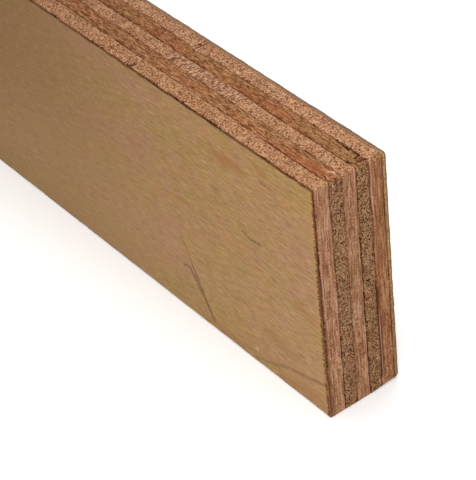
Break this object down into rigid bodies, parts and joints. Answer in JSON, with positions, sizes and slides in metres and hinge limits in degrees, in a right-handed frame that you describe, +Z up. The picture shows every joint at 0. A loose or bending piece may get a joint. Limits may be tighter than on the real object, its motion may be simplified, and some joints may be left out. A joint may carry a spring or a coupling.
{
  "type": "scaffold plank",
  "caption": "Short plywood scaffold plank stored on its long narrow edge: thick crossed hardwood plies between thin face veneers, with dark glue lines at the sawn edges.",
  "frame": {"origin": "centre of the underside of the plank as it stands on one long narrow edge", "axes": "+X along the plank to its near end, -Y out of the front wide face (the thin face veneer), +Z up across the plank's width"},
  "size_m": [1.5, 0.038, 0.12],
  "materials": {
    "face_veneer": "sanded ochre hardwood veneer, matt, fine dark pores along the plank",
    "back_veneer": "brown hardwood veneer, matt",
    "long_ply": "sawn red-brown hardwood, grain along the plank, olive-brown end grain",
    "crossband": "sawn pink-brown hardwood, grain across the plank, rough end grain on the long edges",
    "glue": "dark red-brown phenolic glue, brittle and chipped back at the sawn edges"
  },
  "bodies": {
    "root": {"face_veneer_front": "face_veneer", "face_veneer_back": "back_veneer", "long_ply_front": "long_ply", "long_ply_rear": "long_ply", "crossband_front_1": "crossband", "crossband_front_2": "crossband", "crossband_front_3": "crossband", "crossband_front_4": "crossband", "crossband_centre_1": "crossband", "crossband_centre_2": "crossband", "crossband_centre_3": "crossband", "crossband_rear_1": "crossband", "crossband_rear_2": "crossband", "crossband_rear_3": "crossband", "crossband_rear_4": "crossband", "glue_line_1": "glue", "glue_line_2": "glue", "glue_line_3": "glue", "glue_line_4": "glue", "glue_line_5": "glue", "glue_line_6": "glue"}
  },
  "joints": []
}
